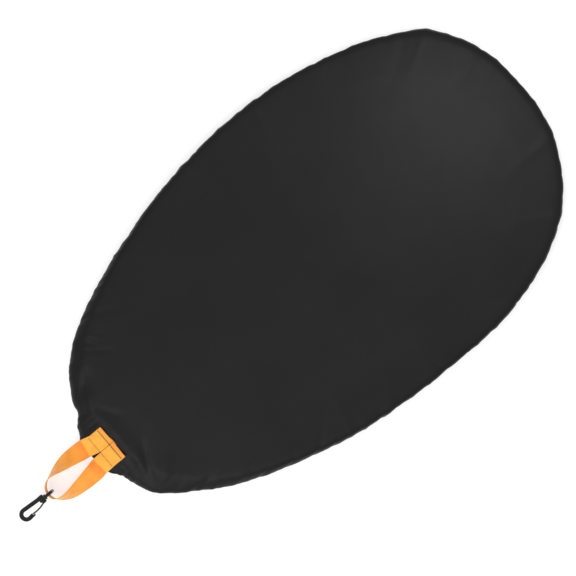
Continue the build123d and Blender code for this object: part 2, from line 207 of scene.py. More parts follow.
class Nodes:
    """A short way to write the node tree of a material or a world."""

    def __init__(self, owner, shader, place):
        owner.use_nodes = True
        self.owner = owner
        self.tree = owner.node_tree
        self.shader = self.tree.nodes[shader]
        self.place = self.add("ShaderNodeTexCoord").outputs[place]

    def add(self, kind, inputs=None, **settings):
        """A new node with its settings, and a value or another node's socket for each input."""
        node = self.tree.nodes.new(kind)
        for key, value in settings.items():
            setattr(node, key, value)
        for key, value in (inputs or {}).items():
            self.put(value, node.inputs[key])
        return node

    def put(self, value, socket):
        if isinstance(value, bpy.types.NodeSocket):
            self.tree.links.new(value, socket)
        else:
            socket.default_value = value

    def math(self, operation, a, b=0.0, c=0.0):
        return self.add("ShaderNodeMath", {0: a, 1: b, 2: c}, operation=operation).outputs[0]

    def total(self, *parts):
        """The sum of (value, weight) parts."""
        value, weight = parts[0]
        result = self.math("MULTIPLY", value, weight)
        for value, weight in parts[1:]:
            result = self.math("ADD", result, self.math("MULTIPLY", value, weight))
        return result

    def wave(self, value, pitch, kind="SINE"):
        """A wave of value that repeats once every pitch."""
        return self.math(kind, self.math("MULTIPLY", value, FULL_TURN / pitch))

    def noise(self, scale, detail=3.0, roughness=0.5):
        inputs = {"Vector": self.place, "Scale": scale, "Detail": detail, "Roughness": roughness}
        return self.add("ShaderNodeTexNoise", inputs).outputs["Fac"]

    def ramp(self, value, stops):
        node = self.add("ShaderNodeValToRGB", {"Fac": value})
        elements = node.color_ramp.elements
        while len(elements) < len(stops):
            elements.new(0.5)
        for element, (position, colour) in zip(elements, stops):
            element.position = position
            element.color = (*colour, 1.0)
        return node.outputs["Color"]

    def mix(self, share, first, second, kind="MIX"):
        inputs = {"Fac": share, "Color1": first, "Color2": second}
        return self.add("ShaderNodeMixRGB", inputs, blend_type=kind).outputs[0]

    def spread(self, value, low, high, start=0.0, end=1.0):
        """Maps the range from start to end onto the range from low to high."""
        inputs = {"Value": value, "From Min": start, "From Max": end, "To Min": low, "To Max": high}
        return self.add("ShaderNodeMapRange", inputs).outputs["Result"]

    def bump(self, height, distance_mm, strength, normal=None):
        inputs = {"Height": height, "Distance": distance_mm * MM, "Strength": strength}
        node = self.add("ShaderNodeBump", inputs)
        if normal is not None:
            self.put(normal, node.inputs["Normal"])
        return node.outputs["Normal"]

    def split(self, vector):
        return self.add("ShaderNodeSeparateXYZ", {0: vector}).outputs

    def uv(self):
        return self.split(self.add("ShaderNodeUVMap").outputs["UV"])[:2]

    def set(self, **inputs):
        """Puts values or sockets on the shader; returns the finished material or world."""
        for key, value in inputs.items():
            self.put(value, self.shader.inputs[key.replace("_", " ")])
        return self.owner


def material_nodes(name):
    """A new material's nodes; their place is in metres, in the CAD frame."""
    return Nodes(bpy.data.materials.new(name), "Principled BSDF", "Object")


def coated_nylon(name, dark, light, rough_low, rough_high, crinkle_mm):
    """Coated plain-weave nylon: a faint mottle, a fine weave and a crinkle of the given height."""
    nodes = material_nodes(name)
    mottle = nodes.total((nodes.noise(9.0, 3.0, 0.55), 0.7), (nodes.noise(420.0, 4.0, 0.6), 0.3))
    x, y = nodes.split(nodes.place)[:2]
    yarn_pitch = 0.9 * MM
    weave = nodes.math("MULTIPLY", nodes.wave(x, yarn_pitch), nodes.wave(y, yarn_pitch))
    normal = nodes.bump(weave, 0.03, 0.35)
    return nodes.set(
        Base_Color=nodes.ramp(mottle, [(0.3, dark), (0.7, light)]),
        Roughness=nodes.spread(nodes.noise(55.0, 4.0, 0.6), rough_low, rough_high),
        Specular_IOR_Level=0.16,
        Sheen_Weight=0.015,
        Sheen_Roughness=0.4,
        Normal=nodes.bump(nodes.noise(95.0, 5.0, 0.6), crinkle_mm, 0.5, normal),
    )


RIB_PITCH = 1.5
CHEVRON_WIDTH = 1.9
CHEVRON_SLANT = 0.75
WEBBING_RAMP_LENGTH = 140.0
# colour multipliers for the webbing: darker over the folded-under end, and painted light on the sewn-down tab
FOLDED_END = (0.98, 0.74, 0.86)
SEWN_DOWN_PAINTED_LIGHT = (0.99, 0.91, 0.97)

# (share of WEBBING_RAMP_LENGTH from a folded end, what the yarn's colour is multiplied by): darker over the
# folded-under end, painted light on the sewn-down tab, painted shade where the loop first bends away, then a
# deeper tone along the rest of the loop
WEBBING_TONE_AND_PAINTED_LIGHT = (
    (0.0, FOLDED_END),
    (0.118, FOLDED_END),
    (0.132, SEWN_DOWN_PAINTED_LIGHT),
    (0.392, SEWN_DOWN_PAINTED_LIGHT),
    (0.412, (0.91, 0.5, 0.28)),
    (0.48, (0.93, 0.58, 0.4)),
    (0.55, (0.99, 0.74, 0.66)),
    (0.8, (1.0, 0.8, 0.8)),
)


def orange_webbing(half_length_mm):
    """Flat webbing with chevron ribs and slightly fuzzy yarns. Light and shade are painted into its colour:
    painted light on the sewn-down tab and painted shade where it first bends away. V is the distance from the
    strap's middle, the loop's tip."""
    nodes = material_nodes("webbing_orange")
    u, v = nodes.uv()
    from_end = nodes.math("SUBTRACT", half_length_mm, nodes.math("ABSOLUTE", v))
    # painted light on the sewn-down tab and painted shade where the loop first bends away, multiplied into
    # the yarn's colour
    tone_and_painted_light = nodes.ramp(nodes.math("DIVIDE", from_end, WEBBING_RAMP_LENGTH), WEBBING_TONE_AND_PAINTED_LIGHT)
    zigzag = nodes.math("PINGPONG", u, CHEVRON_WIDTH)
    rib = nodes.math("ADD", v, nodes.math("MULTIPLY", zigzag, CHEVRON_SLANT))
    weave = nodes.total((nodes.wave(rib, RIB_PITCH), 1.0), (nodes.wave(u, CHEVRON_WIDTH, "COSINE"), 0.6))
    fuzz = nodes.noise(2200.0, 3.0, 0.6)
    shade = nodes.total((weave, 0.12), (nodes.noise(60.0, 3.0, 0.5), 0.7), (fuzz, 0.35))
    yarn_stops = [(0.1, (0.78, 0.25, 0.012)), (0.55, (0.97, 0.47, 0.042)), (0.95, (1.0, 0.6, 0.085))]
    return nodes.set(
        Base_Color=nodes.mix(1.0, nodes.ramp(shade, yarn_stops), tone_and_painted_light, "MULTIPLY"),
        Roughness=nodes.spread(fuzz, 0.55, 0.8),
        Sheen_Weight=0.35,
        Sheen_Roughness=0.4,
        Normal=nodes.bump(fuzz, 0.05, 0.5, nodes.bump(weave, 0.12, 0.9)),
    )


def moulded_plastic(name, dark, light, rough_low, rough_high):
    """Moulded nylon: fine satin grain, rounded edges in the shading, faint handling marks."""
    nodes = material_nodes(name)
    marks = nodes.noise(140.0, 5.0, 0.65)
    rounded = nodes.add("ShaderNodeBevel", {"Radius": 0.6 * MM}, samples=6).outputs[0]
    return nodes.set(
        Base_Color=nodes.ramp(marks, [(0.35, dark), (0.75, light)]),
        Roughness=nodes.spread(marks, rough_low, rough_high),
        Specular_IOR_Level=0.19,
        Normal=nodes.bump(nodes.noise(1500.0, 3.0, 0.6), 0.02, 0.4, rounded),
    )


def spring_wire():
    """Drawn steel wire, a little uneven in shine."""
    nodes = material_nodes("spring_wire")
    draw = nodes.noise(900.0, 4.0, 0.6)
    return nodes.set(
        Base_Color=nodes.ramp(draw, [(0.3, (0.45, 0.45, 0.46)), (0.7, (0.68, 0.68, 0.69))]),
        Metallic=1.0,
        Roughness=nodes.spread(draw, 0.22, 0.42),
    )


def thread():
    """Twisted polyester thread."""
    nodes = material_nodes("thread_black")
    u, v = nodes.uv()
    twist = nodes.math("SINE", nodes.total((u, 16.0), (v, 8.0)))
    stops = [(0.3, (0.012, 0.011, 0.011)), (0.8, (0.035, 0.033, 0.033))]
    return nodes.set(
        Base_Color=nodes.ramp(nodes.noise(700.0), stops),
        Roughness=nodes.spread(twist, 0.5, 0.75),
        Sheen_Weight=0.3,
        Normal=nodes.bump(twist, 0.05, 0.6),
    )


def bungee_sheath():
    """Braided sheath: two crossing spirals of yarn with lighter flecks."""
    nodes = material_nodes("bungee_sheath")
    u, v = nodes.uv()
    yarns_around = 6
    around = nodes.math("MULTIPLY", u, FULL_TURN * yarns_around)
    along = nodes.math("MULTIPLY", v, FULL_TURN / 2.4)
    left = nodes.math("SINE", nodes.math("ADD", around, along))
    right = nodes.math("SINE", nodes.math("SUBTRACT", around, along))
    braid = nodes.math("MAXIMUM", left, right)
    fleck = nodes.math("GREATER_THAN", nodes.math("MULTIPLY", left, right), 0.82)
    base = nodes.ramp(braid, [(0.2, (0.006, 0.006, 0.006)), (0.9, (0.03, 0.03, 0.031))])
    return nodes.set(
        Base_Color=nodes.mix(fleck, base, (0.16, 0.16, 0.165, 1.0)),
        Roughness=nodes.spread(braid, 0.75, 0.5),
        Sheen_Weight=0.2,
        Normal=nodes.bump(braid, 0.18, 0.8),
    )


NYLON = coated_nylon(
    "coated_nylon",
    dark=(0.0058, 0.0053, 0.0060),
    light=(0.0092, 0.0085, 0.0094),
    rough_low=0.40,
    rough_high=0.50,
    crinkle_mm=0.10,
)
HEM_NYLON = coated_nylon(
    "hem_nylon",
    dark=(0.006, 0.0055, 0.006),
    light=(0.013, 0.012, 0.013),
    rough_low=0.50,
    rough_high=0.66,
    crinkle_mm=0.20,
)
HOOK_PLASTIC = moulded_plastic("hook_plastic", (0.004, 0.004, 0.0043), (0.009, 0.009, 0.0095), 0.28, 0.42)
LOCK_PLASTIC = moulded_plastic("lock_plastic", (0.016, 0.016, 0.016), (0.028, 0.028, 0.028), 0.45, 0.62)
STEEL = spring_wire()
THREAD = thread()
BUNGEE = bungee_sheath()


# ---------------------------------------------------------------- plan of the cover, as in the CAD

HALF_WIDTH = 257.0
WIDEST_Y = 62.0
WIDE_END_Y = 420.0
NOSE_Y = -461.0
WIDE_POWER = 2.3
NOSE_POWER = 2.15
OUTLINE_SAMPLES = 8001

AROUND = 1152  # columns round the rim


def outline(angle, inset, setback):
    """Plan points of the cover's outline, moved in by inset and with its nose drawn back by setback."""
    cosine, sine = np.cos(angle), np.sin(angle)
    wide = sine >= 0
    reach = np.where(wide, WIDE_END_Y - inset - WIDEST_Y, WIDEST_Y - NOSE_Y - setback)
    power = np.where(wide, 2 / WIDE_POWER, 2 / NOSE_POWER)
    x = np.sign(cosine) * np.abs(cosine) ** power * (HALF_WIDTH - inset)
    y = WIDEST_Y + np.sign(sine) * np.abs(sine) ** power * reach
    return np.stack([x, y], -1)


def even_angles(count, inset=0.0, setback=0.0, low=-FULL_TURN / 4, high=FULL_TURN * 3 / 4, closed=True):
    """Angles whose outline points are evenly spaced, the distance to each, and the whole length."""
    sample = np.linspace(low, high, OUTLINE_SAMPLES)
    along = distance_along(outline(sample, inset, setback))
    wanted = np.linspace(0, along[-1], count, endpoint=not closed)
    return np.interp(wanted, along, sample), wanted, along[-1]


def outward(angle):
    """Unit plan normals of the outline."""
    along = outline(angle + 1e-4, 0.0, 0.0) - outline(angle - 1e-4, 0.0, 0.0)
    return unit(np.stack([along[..., 1], -along[..., 0]], -1))


RIM_ANGLES, RIM_S, RIM_LENGTH = even_angles(AROUND)


# ---------------------------------------------------------------- edge of the real cover

# Where the real outline departs from the plain egg: (x, y, reach of the bump, outward push)
OUTLINE_BUMPS = (
    (-94.0, -422.0, 26.0, -3.6),
    (-66.0, -438.0, 16.0, -8.5),
    (50.0, -452.0, 15.0, -9.0),
    (110.0, -424.0, 26.0, 7.0),
    (134.0, -394.0, 22.0, 3.0),
    (-262.0, 10.0, 55.0, 2.4),
    (-236.0, 215.0, 80.0, -5.6),
    (-172.0, 362.0, 36.0, 7.0),
    (-110.0, 400.0, 50.0, 3.6),
    (200.0, 300.0, 110.0, 4.6),
    (250.0, 165.0, 75.0, 3.0),
    (120.0, 398.0, 40.0, -1.5),
    (-222.0, -200.0, 70.0, -4.6),
    (-196.0, -290.0, 50.0, -3.5),
    (216.0, -225.0, 80.0, -2.6),
)

STRAP_X = 7.0  # the strap's middle, where it gathers the nose
OUTERMOST = (0.0, 7.5)  # inset and setback of the rim's outermost line
HEM_BULGE = 4.8
BULGE_HALF_WIDTH = 33.0
BULGE_FADE = 14.0
SMOOTH_HALF_WIDTH = 46.0  # beside the strap, where the hem has none of the outline's bumps
SMOOTH_FADE = 16.0


def outline_push(x, y):
    """How far the real outline stands outside the plain egg near a point."""
    push = np.zeros(np.shape(x))
    for bump_x, bump_y, reach, size in OUTLINE_BUMPS:
        push += size * np.exp(-((x - bump_x) ** 2 + (y - bump_y) ** 2) / reach**2)
    return push


def edge_push(angle, low):
    """The same push along the rim's outermost line.

    Where low is 1, down at the hem, the edge by the strap bulges out and has none of the outline's bumps.
    """
    plan = outline(angle, *OUTERMOST)
    x, y = plan[:, 0], plan[:, 1]
    aside = np.where(y < 0, np.abs(x - STRAP_X), np.inf)
    near_strap = fade_out(aside, SMOOTH_HALF_WIDTH, SMOOTH_FADE)
    bulge = HEM_BULGE * fade_out(aside, BULGE_HALF_WIDTH, BULGE_FADE)
    return outline_push(x, y) * (1 - low * near_strap) + bulge * low


# ---------------------------------------------------------------- folds, creases and puckers

RIDGE = (
    (-60, -424),
    (-50, -414),
    (-20, -411.5),
    (10, -411.0),
    (46, -411.5),
    (70, -415),
    (96, -424),
    (108, -432),
)
VALLEY_LEFT = ((-116, -378), (-92, -396), (-66, -424))
VALLEY_RIGHT = ((24, -378), (44, -392), (66, -403), (92, -415), (110, -424))

# Folds behind the strap: (line, height, reach to its left, reach to its right)
NOSE_FOLDS = (
    (RIDGE, 3.0, 15.0, 4.2),
    (VALLEY_LEFT, -3.0, 11.0, 6.0),
    (((-104, -404), (-84, -397), (-60, -400)), -1.0, 6.0, 6.0),
    (((-58, -414), (-36, -400), (-8, -382)), -1.5, 5.5, 8.5),
    (VALLEY_RIGHT, -3.2, 6.0, 7.0),
    (((72, -362), (90, -388), (112, -410)), 1.3, 9.0, 8.0),
    (((58, -406), (44, -428)), -1.4, 3.4, 3.4),
    (((152, -366), (145, -346), (148, -322)), -0.7, 3.6, 5.0),
    (((-154, -366), (-136, -355), (-116, -340)), -0.6, 3.0, 4.0),
    (((-140, -382), (-126, -360), (-96, -322)), -0.7, 3.4, 4.6),
    (((-158, -354), (-140, -342), (-118, -326)), 0.45, 3.4, 3.4),
    (((4, -376), (-6, -340), (-10, -300)), -0.5, 8.0, 8.0),
)
FOLD_END_SHARE = 1 / 2.6  # of a fold's length, over which it rises from each end

GATHER_START = 29.0  # from the strap's middle
GATHER_RISE = 7.0
GATHER_END = 62.0
GATHER_FADE = 16.0
GATHER_Y = -415.0
GATHER_Y_RISE = 14.0

CREASE_GAP = (9, 34)
CREASE_WIDTH = (3.0, 6.5)
CREASE_HEIGHT = (0.5, 1.2)
CREASE_SLANT = (-0.5, 0.5)
SHORT_CREASE = (18, 50)
LONG_CREASE = (70, 150)
LONG_SHARE = 0.28
LONG_WIDENING = 1.5
DIP_SHARE = 0.6  # of the creases, which go down instead of up


def nose_folds(x, y):
    """Height of the folds that the gathered nose throws behind the strap."""
    rise = np.zeros(np.shape(x))
    for line, height, left, right in NOSE_FOLDS:
        gap, share = line_distance(x, y, line)
        fade = smooth_step(np.minimum(share, 1 - share) / FOLD_END_SHARE)
        rise += height * fade * np.exp(-((gap / np.where(gap > 0, left, right)) ** 2))
    return rise


def nose_gather(x, y):
    """1 in the two gathered patches of cloth beside the strap, 0 elsewhere."""
    aside = np.abs(x - STRAP_X)
    band = smooth_step((aside - GATHER_START) / GATHER_RISE) * fade_out(aside, GATHER_END, GATHER_FADE)
    return band * smooth_step((GATHER_Y - y) / GATHER_Y_RISE)


def make_creases():
    """Tension creases that run in from the rim: (place, width, length, height, slant)."""
    rng = np.random.default_rng(SEED)
    creases = []
    place = 0.0
    while place < RIM_LENGTH:
        place += rng.uniform(*CREASE_GAP)
        is_long = rng.random() < LONG_SHARE
        width = rng.uniform(*CREASE_WIDTH) * (LONG_WIDENING if is_long else 1.0)
        length = rng.uniform(*(LONG_CREASE if is_long else SHORT_CREASE))
        height = rng.uniform(*CREASE_HEIGHT) * rng.choice([-1, 1], p=[DIP_SHARE, 1 - DIP_SHARE])
        creases.append((place, width, length, height, rng.uniform(*CREASE_SLANT)))
    return creases


CREASES = make_creases()


def crease_height(s, depth):
    """Height of all the tension creases at distance s round the rim and distance depth in from it."""
    total = np.zeros(np.broadcast(s, depth).shape)
    for place, width, length, height, slant in CREASES:
        offset = s - place - slant * depth
        offset = (offset + RIM_LENGTH / 2) % RIM_LENGTH - RIM_LENGTH / 2
        fade = np.clip(1 - depth / length, 0, 1) ** 1.5
        wide = width * (1 + depth / length)
        total += height * fade * np.exp(-((offset / wide) ** 2))
    return total


def rim_gathers(count, phase_spacing, size_spacing, seed):
    """Puckers round the rim with sharp valleys and round crests, uneven in place and size."""
    phase = wobble(RIM_LENGTH, phase_spacing, seed)(RIM_S)
    size = wobble(RIM_LENGTH, size_spacing, seed + 1)(RIM_S)
    turn = RIM_S / RIM_LENGTH * count * math.pi + 1.3 * phase
    return (np.abs(np.sin(turn)) ** 0.7 - 0.62) * (0.72 + 0.38 * size)


FINE_PUCKERS = rim_gathers(214, 34.0, 21.0, SEED + 1)
WIDE_PLEATS = rim_gathers(118, 70.0, 47.0, SEED + 3)


# ---------------------------------------------------------------- deck

# (inset from the outline, setback of the nose, height), from the hem's lip up to the crown
RIM_PROFILE = (
    (20.5, 5.5, 10.9),
    (18.0, 3.0, 11.3),
    (11.0, 2.0, 11.9),
    (5.0, 2.2, 13.8),
    (1.2, 4.0, 17.2),
    (0.0, 7.5, 21.5),
    (0.2, 15.0, 26.0),
    (1.0, 24.0, 30.0),
    (3.2, 31.0, 33.2),
    (8.0, 36.5, 35.4),
    (17.0, 47.0, 36.8),
    (60.0, 98.0, 38.8),
)
RIM_RINGS = 36
LIP_TOP = 11.5  # a ring below this height puckers downwards, one above it upwards
LIP_RINGS = 2  # held nearly flat by the hem's stitches
LIP_PUCKER_SHARE = 0.35
CLOTH_THICKNESS = 0.5

PUSH_REACH = 60.0  # how far above its outermost line the rim still follows the real outline
HEM_PUSH_REACH = 12.0  # how far below that line the rim turns into the hem
RIM_FADE = 16.0
FINE_TOP = 0.16
FINE_GROWTH = 1.1
FINE_GROWTH_REACH = 14.0
NOSE_PUCKER = 1.5
PLEAT_TOP = 0.3
PLEAT_GROWTH = 0.5
PLEAT_GROWTH_REACH = 10.0

CENTRE = np.array([0.0, 15.0])
CROWN_RISE = 2.6
FIRST_STEP = 0.011  # between two rings, as a share of the crown's size
LARGEST_STEP = 0.045
STEP_GROWTH = 1.12
SMALLEST_RING = 0.03
FEWEST_COLUMNS = 90
MEAN_RADIUS = 230.0
STRETCH = 1.6  # a ring's columns are halved once its faces are this much longer than wide
SWELL = 1.1  # height of the crown's broad unevenness
SWELL_SPAN = 1200.0
SWELL_EDGE = 0.25  # share of the way in from the rim over which it grows


def rim_ripple(plan, above, below):
    """Height of the puckers, pleats and creases on a ring above or below the rim's outermost line."""
    fine = FINE_TOP + FINE_GROWTH * min(1.0, below / FINE_GROWTH_REACH)
    fine -= FINE_TOP * min(1.0, above / RIM_FADE)
    pleat = PLEAT_TOP + PLEAT_GROWTH * min(1.0, below / PLEAT_GROWTH_REACH)
    crease = 1 if below < 1 else max(0.0, 1 - below / RIM_FADE)
    ripple = (fine + NOSE_PUCKER * nose_gather(plan[:, 0], plan[:, 1])) * FINE_PUCKERS
    ripple += pleat * math.exp(-((above / RIM_FADE) ** 2)) * WIDE_PLEATS
    ripple += crease * crease_height(RIM_S, above)
    return ripple


def rim_rings(profile, walked):
    """Rings of points over the rim; walked is each ring's distance over the cloth from the outermost line."""
    slope = np.gradient(profile, axis=0)
    size = np.hypot(slope[:, 0], slope[:, 2])
    out_share = np.abs(slope[:, 2] / size)
    up_share = slope[:, 0] / size
    up_share = np.where(profile[:, 2] > LIP_TOP, np.abs(up_share), up_share)
    sideways = outward(RIM_ANGLES)
    rings = []
    for k, (inset, setback, height) in enumerate(profile):
        plan = outline(RIM_ANGLES, inset, setback)
        above = max(0.0, walked[k])
        below = max(0.0, -walked[k])
        if above > 0:
            push = outline_push(plan[:, 0], plan[:, 1]) * max(0.0, 1 - above / PUSH_REACH)
        else:
            push = edge_push(RIM_ANGLES, smooth_step(below / HEM_PUSH_REACH))
        ripple = rim_ripple(plan, above, below)
        if k < LIP_RINGS:
            ripple *= LIP_PUCKER_SHARE
        plan = plan + sideways * (push + ripple * out_share[k])[:, None]
        z = height + ripple * up_share[k] + nose_folds(plan[:, 0], plan[:, 1])
        rings.append(np.column_stack([plan, z]))
    return rings


def crown_rings(inset, setback, height, walked):
    """Rings that shrink from the rim's last one to the centre, with half the columns when they get small."""
    edge = outline(RIM_ANGLES, inset, setback)
    swell_x = wobble(SWELL_SPAN, 170, SEED + 5)
    swell_y = wobble(SWELL_SPAN, 190, SEED + 6)
    rings = []
    columns = AROUND
    share = 1.0
    step = FIRST_STEP
    while share > SMALLEST_RING:
        share -= step
        if columns > FEWEST_COLUMNS and step * MEAN_RADIUS > STRETCH * (share * RIM_LENGTH / columns):
            columns //= 2
        pick = np.arange(columns) * (AROUND // columns)
        plan = CENTRE + (edge[pick] - CENTRE) * share
        depth = walked + (1 - share) * np.linalg.norm(edge[pick] - CENTRE, axis=1)
        swell = swell_x(plan[:, 0] + SWELL_SPAN / 2) * swell_y(plan[:, 1] + SWELL_SPAN / 2)
        z = height + CROWN_RISE * (1 - share**2)
        z = z + crease_height(RIM_S[pick], depth)
        z = z + nose_folds(plan[:, 0], plan[:, 1])
        z = z + SWELL * swell * smooth_step((1 - share) / SWELL_EDGE)
        rings.append(np.column_stack([plan, z]))
        step = min(LARGEST_STEP, step * STEP_GROWTH)
    return rings


def faces_between(rings):
    """Faces from each ring to the next, which has as many points or half as many."""
    faces = []
    start = 0
    for ring, following in zip(rings, rings[1:]):
        after = start + len(ring)
        for i in range(len(following)):
            j = (i + 1) % len(following)
            if len(following) == len(ring):
                faces.append((start + i, start + j, after + j, after + i))
            else:
                middle = start + 2 * i + 1
                faces.append((start + 2 * i, middle, after + i))
                faces.append((middle, start + (2 * i + 2) % len(ring), after + j, after + i))
        start = after
    return faces


def deck_mesh():
    """Points and faces of the deck sheet, from the hem's lip to a fan of triangles at the centre."""
    profile = smooth_curve(RIM_PROFILE, RIM_RINGS)
    walked = distance_along(profile[:, [0, 2]])
    walked -= walked[np.argmin(profile[:, 0])]
    rings = rim_rings(profile, walked) + crown_rings(*profile[-1], walked[-1])
    faces = faces_between(rings)
    last = rings[-1]
    centre = sum(len(ring) for ring in rings)
    start = centre - len(last)
    for i in range(len(last)):
        faces.append((start + i, start + (i + 1) % len(last), centre))
    return np.vstack(rings + [(*CENTRE, last[:, 2].mean())]), faces


deck = make_object("cover_deck", *deck_mesh(), NYLON)
thicken(deck, CLOTH_THICKNESS, offset=-1.0)
dress(deck, "cover", "coated_nylon", "deck_panel")


# ---------------------------------------------------------------- tubes


def skin(across, along):
    """Faces and UVs between rows of points round a tube or a band, without its ends.

    across holds U round the section, from its first point right round to that point again, and along holds
    V for each row.
    """
    around = len(across) - 1
    faces, uv = [], []
    for k in range(len(along) - 1):
        for i in range(around):
            j = (i + 1) % around
            faces.append((k * around + i, (k + 1) * around + i, (k + 1) * around + j, k * around + j))
            uv += [(across[i], along[k]), (across[i], along[k + 1])]
            uv += [(across[i + 1], along[k + 1]), (across[i + 1], along[k])]
    return faces, uv


def end_caps(across, along):
    """The two faces that close a skin, and their UVs."""
    around = len(across) - 1
    first = list(range(around))
    last_row = (len(along) - 1) * around
    faces = [tuple(first), tuple(last_row + i for i in first[::-1])]
    uv = [(across[i], along[0]) for i in first] + [(across[i], along[-1]) for i in first[::-1]]
    return faces, uv


def tube(path, radius, around, ends=True, up=(0, 0, 1)):
    """Points, faces and UVs of a tube; radius is a number or one value for each point and each side."""
    tangent = unit(np.gradient(path, axis=0))
    side = unit(np.cross(tangent, np.asarray(up, float)))
    top = np.cross(side, tangent)
    turn = np.linspace(0, FULL_TURN, around, endpoint=False)
    radius = np.broadcast_to(np.asarray(radius, float), (len(path), around))
    ring = side[:, None, :] * np.cos(turn)[None, :, None] + top[:, None, :] * np.sin(turn)[None, :, None]
    points = (path[:, None, :] + ring * radius[:, :, None]).reshape(-1, 3)
    across = np.arange(around + 1) / around
    along = distance_along(path)
    faces, uv = skin(across, along)
    if ends:
        cap_faces, cap_uv = end_caps(across, along)
        faces += cap_faces
        uv += cap_uv
    return points, faces, uv


# ---------------------------------------------------------------- hem

HEM_INSET = 24.0
HEM_SETBACK = 9.0
HEM_Z = 5.5
HEM_GAP = 32.0
HEM_ROWS = 1500
HEM_SIDES = 18
HEM_RADIUS = 5.25
HEM_MOST_RADIUS = 5.5
HEM_PUCKERS = 262
HEM_PUCKER_SIZE = 1.15
HEM_UNEVENNESS = 0.45
HEM_LEAN = 0.35
HEM_FLATTENING = 0.06  # underneath

GAP_ANGLE = math.acos((HEM_GAP / 2 / (HALF_WIDTH - HEM_INSET)) ** (WIDE_POWER / 2))


def hem_angles(count, inset, setback):
    """Evenly spaced angles round a line of the hem, which has a gap at the wide end."""
    return even_angles(count, inset, setback, math.pi - GAP_ANGLE, FULL_TURN + GAP_ANGLE, closed=False)


def along_hem(angle, inset, setback):
    """Plan points of a line that follows the hem of the real cover."""
    return outline(angle, inset, setback) + outward(angle) * edge_push(angle, 1.0)[:, None]


def hem_radii(s, length):
    """The hem's radius at each row and side: leaning puckers with cut-off crests and a flatter underside."""
    turn = np.linspace(0, FULL_TURN, HEM_SIDES, endpoint=False)
    phase = wobble(length, 30.0, SEED + 7)(s)
    size = wobble(length, 19.0, SEED + 8)(s)
    crest = np.abs(np.sin(s / length * HEM_PUCKERS * math.pi + 1.1 * phase)) ** 0.75
    pucker = (crest - 0.8) * (HEM_PUCKER_SIZE + HEM_UNEVENNESS * size)
    lean = HEM_LEAN * np.sin(turn[None, :] * 2 + phase[:, None] * 2)
    flat = 1 - HEM_FLATTENING * np.maximum(0, -np.sin(turn))[None, :]
    return np.minimum(HEM_RADIUS + pucker[:, None] * (1 + lean), HEM_MOST_RADIUS) * flat


hem_angle, hem_s, hem_length = hem_angles(HEM_ROWS, HEM_INSET, HEM_SETBACK)
hem_line = along_hem(hem_angle, HEM_INSET, HEM_SETBACK)
hem_path = np.column_stack([hem_line, np.full(HEM_ROWS, HEM_Z)])
hem_points, hem_faces = tube(hem_path, hem_radii(hem_s, hem_length), HEM_SIDES, ends=False)[:2]
hem = make_object("hem_tunnel", hem_points, hem_faces, HEM_NYLON)
thicken(hem, CLOTH_THICKNESS, offset=1.0)
dress(hem, "cover", "hem_nylon", "hem_casing")


# ---------------------------------------------------------------- bungee cord

CORD_RADIUS = 1.95
CORD_SIDES = 12
CORD_STRIDE = 4  # hem rows between two rows of the cord
TAIL_X = 2.05
TAIL_TURN_Y = 383.0
TAIL_SPREAD_Y = 326.0
TAIL_END_X = 8.0
TAIL_GRIP_Y = 304.0
TAIL_END_Y = 296.5
TAIL_BEND = 8.0


def cord_tail(side, end, before_end):
    """Plan points of one cord tail, from the hem's open end to its cap."""
    x = side * TAIL_X
    far = side * TAIL_END_X
    leave = end + TAIL_BEND * unit(end - before_end)
    turn = (end, leave, (x, TAIL_TURN_Y + TAIL_BEND), (x, TAIL_TURN_Y))
    spread = (
        (x, TAIL_SPREAD_Y),
        (x, TAIL_SPREAD_Y - TAIL_BEND),
        (far, TAIL_GRIP_Y + TAIL_BEND),
        (far, TAIL_GRIP_Y),
    )
    parts = [
        bezier(turn, 14),
        np.linspace((x, TAIL_TURN_Y), (x, TAIL_SPREAD_Y), 20)[1:],
        bezier(spread, 12)[1:],
        np.linspace((far, TAIL_GRIP_Y), (far, TAIL_END_Y), 4)[1:],
    ]
    return np.vstack(parts)


start_tail = cord_tail(-1, hem_line[0], hem_line[1])
end_tail = cord_tail(1, hem_line[-1], hem_line[-2])
cord_in_hem = hem_line[CORD_STRIDE:-CORD_STRIDE:CORD_STRIDE]
cord_plan = np.vstack([start_tail[::-1], cord_in_hem, end_tail])
cord_path = np.column_stack([cord_plan, np.full(len(cord_plan), HEM_Z)])
cord_points, cord_faces, cord_uv = tube(cord_path, CORD_RADIUS, CORD_SIDES)
cord = make_object("bungee", cord_points, cord_faces, BUNGEE, cord_uv)
dress(cord, "cover", "bungee", "bungee_cord")


# ---------------------------------------------------------------- cord lock spring

SPRING_TURNS = 4.5
SPRING_WIRE = 0.3
SPRING_ROWS = 200
SPRING_SIDES = 10

spring_low, spring_high = (np.array(corner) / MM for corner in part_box("cord_lock_spring"))
coil_radius = (spring_high[2] - spring_low[2]) / 2 - SPRING_WIRE
coil_turn = np.linspace(0, SPRING_TURNS * FULL_TURN, SPRING_ROWS)
from_axis = np.column_stack([np.zeros(SPRING_ROWS), np.cos(coil_turn), np.sin(coil_turn)])
coil_path = (spring_low + spring_high) / 2 + coil_radius * from_axis
coil_path[:, 0] = np.linspace(spring_low[0] + SPRING_WIRE, spring_high[0] - SPRING_WIRE, SPRING_ROWS)
coil_points, coil_faces, coil_uv = tube(coil_path, SPRING_WIRE, SPRING_SIDES, up=from_axis)
coil = make_object("lock_coil", coil_points, coil_faces, STEEL, coil_uv)
dress(coil, "cord_lock", "spring_steel", "cord_lock_spring")
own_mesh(coil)


# ---------------------------------------------------------------- stitches

STITCH_ROWS = 7
STITCH_SIDES = 6

THREAD_INSET = 19.9
THREAD_SETBACK = 4.9
THREAD_Z = 10.25
THREAD_INWARD = 0.75  # the hem's stitches face inwards and down
THREAD_DOWN = 0.66
HEM_STITCH_PITCH = 3.6


